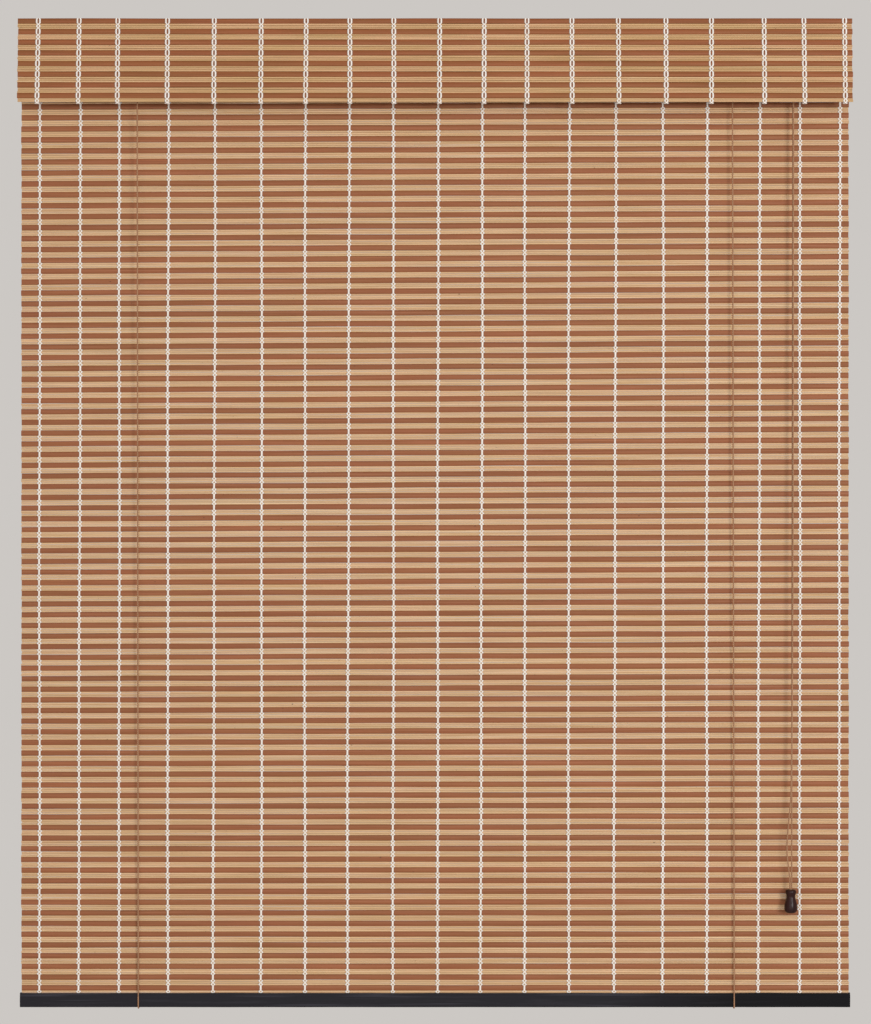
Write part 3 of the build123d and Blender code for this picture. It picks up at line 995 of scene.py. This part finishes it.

# %% [markdown]
# ## The lift cords
# Each lift cord runs from the lock over its pulley, down the room side, under the hem and up the
# back to a staple. The run above stays, the turn under the hem rises with the rail, and the two
# legs between stay with the blind, each with a mesh of its own. So a cord is five pieces.

# %% String the lift cords
front_leg_y, back_leg_y, anchor_y = 8.05, 16.95, 14.5
under_z, anchor_z = -1190.85, -19.93
leg_top, leg_bottom = -60.0, -1176.0
leg_gap = 0.1
bend = 5.0
tail_length = 8.0
run_steps, turn_steps, tail_steps, leg_steps = 12, 10, 8, 24
lift_x, right_drift = 358.0, 3.0


def lift_cord(side, channel_y, top_x, bottom_x):
    def leg_point(y_top, y_bottom, z_top, z):
        share = (z - z_top) / (under_z - z_top)
        return (top_x + share * (bottom_x - top_x), y_top + share * (y_bottom - y_top), z)

    def front_leg(z):
        return leg_point(channel_y, front_leg_y, run_z, z)

    def back_leg(z):
        return leg_point(anchor_y, back_leg_y, anchor_z, z)

    run = (
        (lock_x, channel_y, run_z), (top_x + 2 * bend, channel_y, run_z),
        (top_x, channel_y, run_z), front_leg(run_z - 2 * bend), front_leg(leg_top),
    )
    tail = (
        back_leg(leg_top), (top_x, anchor_y, anchor_z), (top_x, anchor_y, anchor_z + tail_length),
    )
    turn = (
        front_leg(leg_bottom), front_leg(under_z + bend), front_leg(under_z),
        back_leg(under_z), back_leg(under_z + bend), back_leg(leg_bottom),
    )
    name = f"{side}_lift_cord"
    pieces = [
        (cord_tube(f"{name}_run", cord_line(run, run_steps)), "blind"),
        (cord_tube(f"{name}_tail", cord_line(tail, tail_steps)), "blind"),
        (cord_tube(f"{name}_turn", cord_line(turn, turn_steps)), "bottom_rail"),
    ]
    middle, foot = (leg_top + leg_bottom) / 2, leg_bottom + leg_gap
    for place, leg in (("front", front_leg), ("back", back_leg)):
        line = cord_line((leg(leg_top), leg(middle), leg(foot)), leg_steps)
        piece = cord_tube(f"{name}_{place}_leg", line)
        pieces.append((piece, "blind"))
        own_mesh(piece)
    for piece, body in pieces:
        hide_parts(name)
        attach(piece, body)


lift_cord("left", front_y, -lift_x, -lift_x)
lift_cord("right", rear_y, lift_x, lift_x + right_drift)

# %% [markdown]
# ## Wood, metal and nylon behind the valance
# The headrail and the bar are plain planed softwood, the pulley frames are plated steel, the
# wheels are nylon and the lock's roller and cam are brass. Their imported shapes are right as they
# are, so they only get finishes.

# %% Finishes for the rails and the ironmongery
pore_share = 0.3
pore_brown = paint(120, 84, 52)
pore_relief = 0.1 * MM
wear_relief = 0.03 * MM


def planed_wood(name, pale, dark):
    finish = Finish(name, Roughness=0.6, Specular_IOR_Level=0.35)
    growth = finish.clouds((2.5, 160, 160), 0.35, 0.65, detail=5, roughness=0.65)
    pores = finish.clouds((30, 900, 900), 0.45, 0.7)
    body = finish.mix(growth, pale, dark)
    finish.colour(finish.tint(body, pores, pore_share, pore_brown))
    finish.bump(pores, pore_relief, strength=0.3)
    return finish.material


def metal(name, bright, dull, glossiest, roughest):
    finish = Finish(name, Metallic=1.0)
    wear = finish.clouds((180, 180, 180), detail=4)
    finish.colour(finish.mix(wear, bright, dull))
    finish.roughness(finish.span(wear, 0, 1, glossiest, roughest))
    finish.bump(wear, wear_relief, strength=0.2)
    return finish.material


def moulded_nylon():
    finish = Finish("pulley_nylon", Roughness=0.45)
    haze = finish.clouds((140, 140, 140))
    finish.colour(finish.mix(haze, paint(226, 221, 206), paint(210, 203, 184)))
    finish.bump(haze, wear_relief, strength=0.2)
    return finish.material


slot_finishes = {
    "headrail_wood": planed_wood("headrail_wood", paint(204, 168, 122), paint(182, 142, 98)),
    "bar_wood": planed_wood("bar_wood", paint(200, 164, 118), paint(178, 138, 94)),
    "plated_steel": metal("plated_steel", paint(206, 206, 204), paint(178, 180, 182), 0.28, 0.42),
    "axle_steel": metal("axle_steel", paint(188, 188, 190), paint(160, 160, 163), 0.22, 0.36),
    "staple_wire": metal("staple_wire", paint(196, 196, 196), paint(170, 171, 173), 0.3, 0.45),
    "lock_brass": metal("lock_brass", paint(208, 168, 96), paint(184, 144, 78), 0.25, 0.4),
    "pulley_nylon": moulded_nylon(),
    "brown_cord": braid.material,
}
for subpart in frame["record"]["subparts"]:
    node = nodes[subpart["node"]]
    if not node.hide_render:
        for material_slot in node.material_slots:
            material_slot.material = slot_finishes[subpart["material_slot"]]
        print("finished", subpart["node"], "as", subpart["material_slot"])

# %% [markdown]
# ## Floor and sky
# The blind hangs high, so the pale floor lies far below it, clear of the acorn when the cords are
# pulled right down. An even sky lights everything a little. Seen directly, or in metal, it is a
# plain pale grey.

# %% Floor and sky
floor_z = -3.15
floor_size = 9
floor = start_piece(
    "floor", bpy.ops.mesh.primitive_plane_add, size=floor_size, location=(0, 0, floor_z)
)
settle(floor)
floor_finish = Finish("pale_floor", Roughness=0.9)
mottle = floor_finish.clouds((3, 3, 3))
floor_finish.colour(floor_finish.mix(mottle, paint(222, 219, 214), paint(216, 213, 208)))
floor.data.materials.append(floor_finish.material)

sky_strength = 0.4
backdrop = paint(204, 200, 196)
world = bpy.data.worlds.new("studio")
bpy.context.scene.world = world
world.use_nodes = True
sky = world.node_tree
light = sky.nodes["Background"]
light.inputs["Color"].default_value = (1, 1, 1, 1)
light.inputs["Strength"].default_value = sky_strength
seen = sky.nodes.new("ShaderNodeBackground")
seen.inputs["Color"].default_value = backdrop
ray = sky.nodes.new("ShaderNodeLightPath")


def either(first, second):
    """One of two kinds of ray."""
    made = sky.nodes.new("ShaderNodeMath")
    made.operation = "MAXIMUM"
    sky.links.new(first, made.inputs[0])
    sky.links.new(second, made.inputs[1])
    return made.outputs["Value"]


straight = either(ray.outputs["Is Camera Ray"], ray.outputs["Is Transmission Ray"])
choose = sky.nodes.new("ShaderNodeMixShader")
sky.links.new(either(straight, ray.outputs["Is Glossy Ray"]), choose.inputs["Fac"])
sky.links.new(light.outputs["Background"], choose.inputs[1])
sky.links.new(seen.outputs["Background"], choose.inputs[2])
sky.links.new(choose.outputs["Shader"], sky.nodes["World Output"].inputs["Surface"])
print("floor at", floor_z, "m")

# %% [markdown]
# ## Lamps
# A large lamp stands at the front right and a little above, which gives the cords their soft
# shadows on the left. A larger, fainter one fills from the front left, and a third lights the back
# for the views from behind.

# %% Lamps
blind_middle = Vector((0, mat_y, camera_height))


def lamp(name, direction, distance, size, power):
    """A square area lamp that looks at the middle of the blind from a direction."""
    place = blind_middle + Vector(direction).normalized() * distance
    turn = (blind_middle - place).to_track_quat("-Z", "Y").to_euler()
    bpy.ops.object.select_all(action="DESELECT")
    bpy.ops.object.light_add(type="AREA", location=place, rotation=turn)
    made = bpy.context.object
    made.name = name
    made.data.size = size
    made.data.energy = power
    print("lamp", name)


lamp("key", direction=(0.45, -0.89, 0.105), distance=5.0, size=1.6, power=119)
lamp("front_fill", direction=(-0.2, -0.95, 0.1), distance=5.5, size=4.0, power=72)
lamp("back_fill", direction=(-0.5, 0.8, 0.35), distance=5.0, size=3.0, power=120)
bpy.context.scene.view_settings.view_transform = "Standard"
